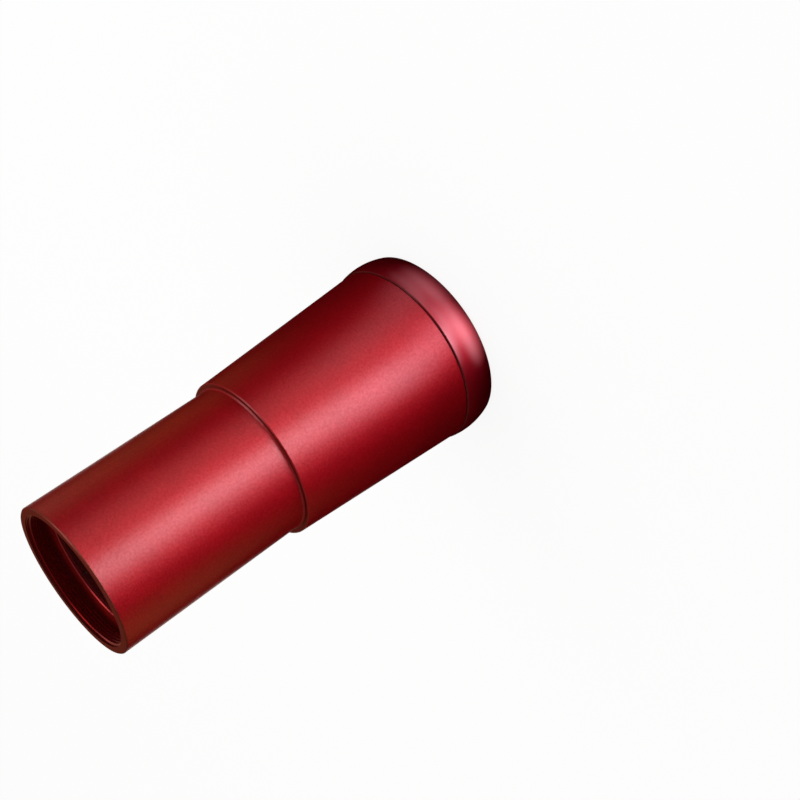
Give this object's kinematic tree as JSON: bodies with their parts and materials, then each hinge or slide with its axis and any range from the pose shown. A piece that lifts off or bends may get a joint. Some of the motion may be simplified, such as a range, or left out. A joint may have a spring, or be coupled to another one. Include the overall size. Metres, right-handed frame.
{
  "type": "collimating eyepiece",
  "caption": "Collimating eyepiece: turned tube with a 31.75 mm barrel and a conical body, light window, slanted reflector, crosshair and crowned eye cap.",
  "frame": {"origin": "centre of the eye face, on which the part stands", "axes": "+Z along the optical axis, from the eye cap to the open mouth of the barrel; +Y towards the light window"},
  "size_m": [0.0402, 0.0402, 0.0889],
  "materials": {
    "red_anodised": "bead-blasted, red anodised",
    "red_anodised_cap": "fine-turned, red anodised",
    "bright_face": "bare, fine-turned",
    "red_anodised_ring": "red anodised",
    "dark_wire": "blackened wire"
  },
  "bodies": {
    "root": {"tube": "red_anodised", "eye_cap": "red_anodised_cap", "reflector": "bright_face", "crosshair_ring": "red_anodised_ring", "crosshair_wire_x": "dark_wire", "crosshair_wire_y": "dark_wire"}
  },
  "joints": []
}
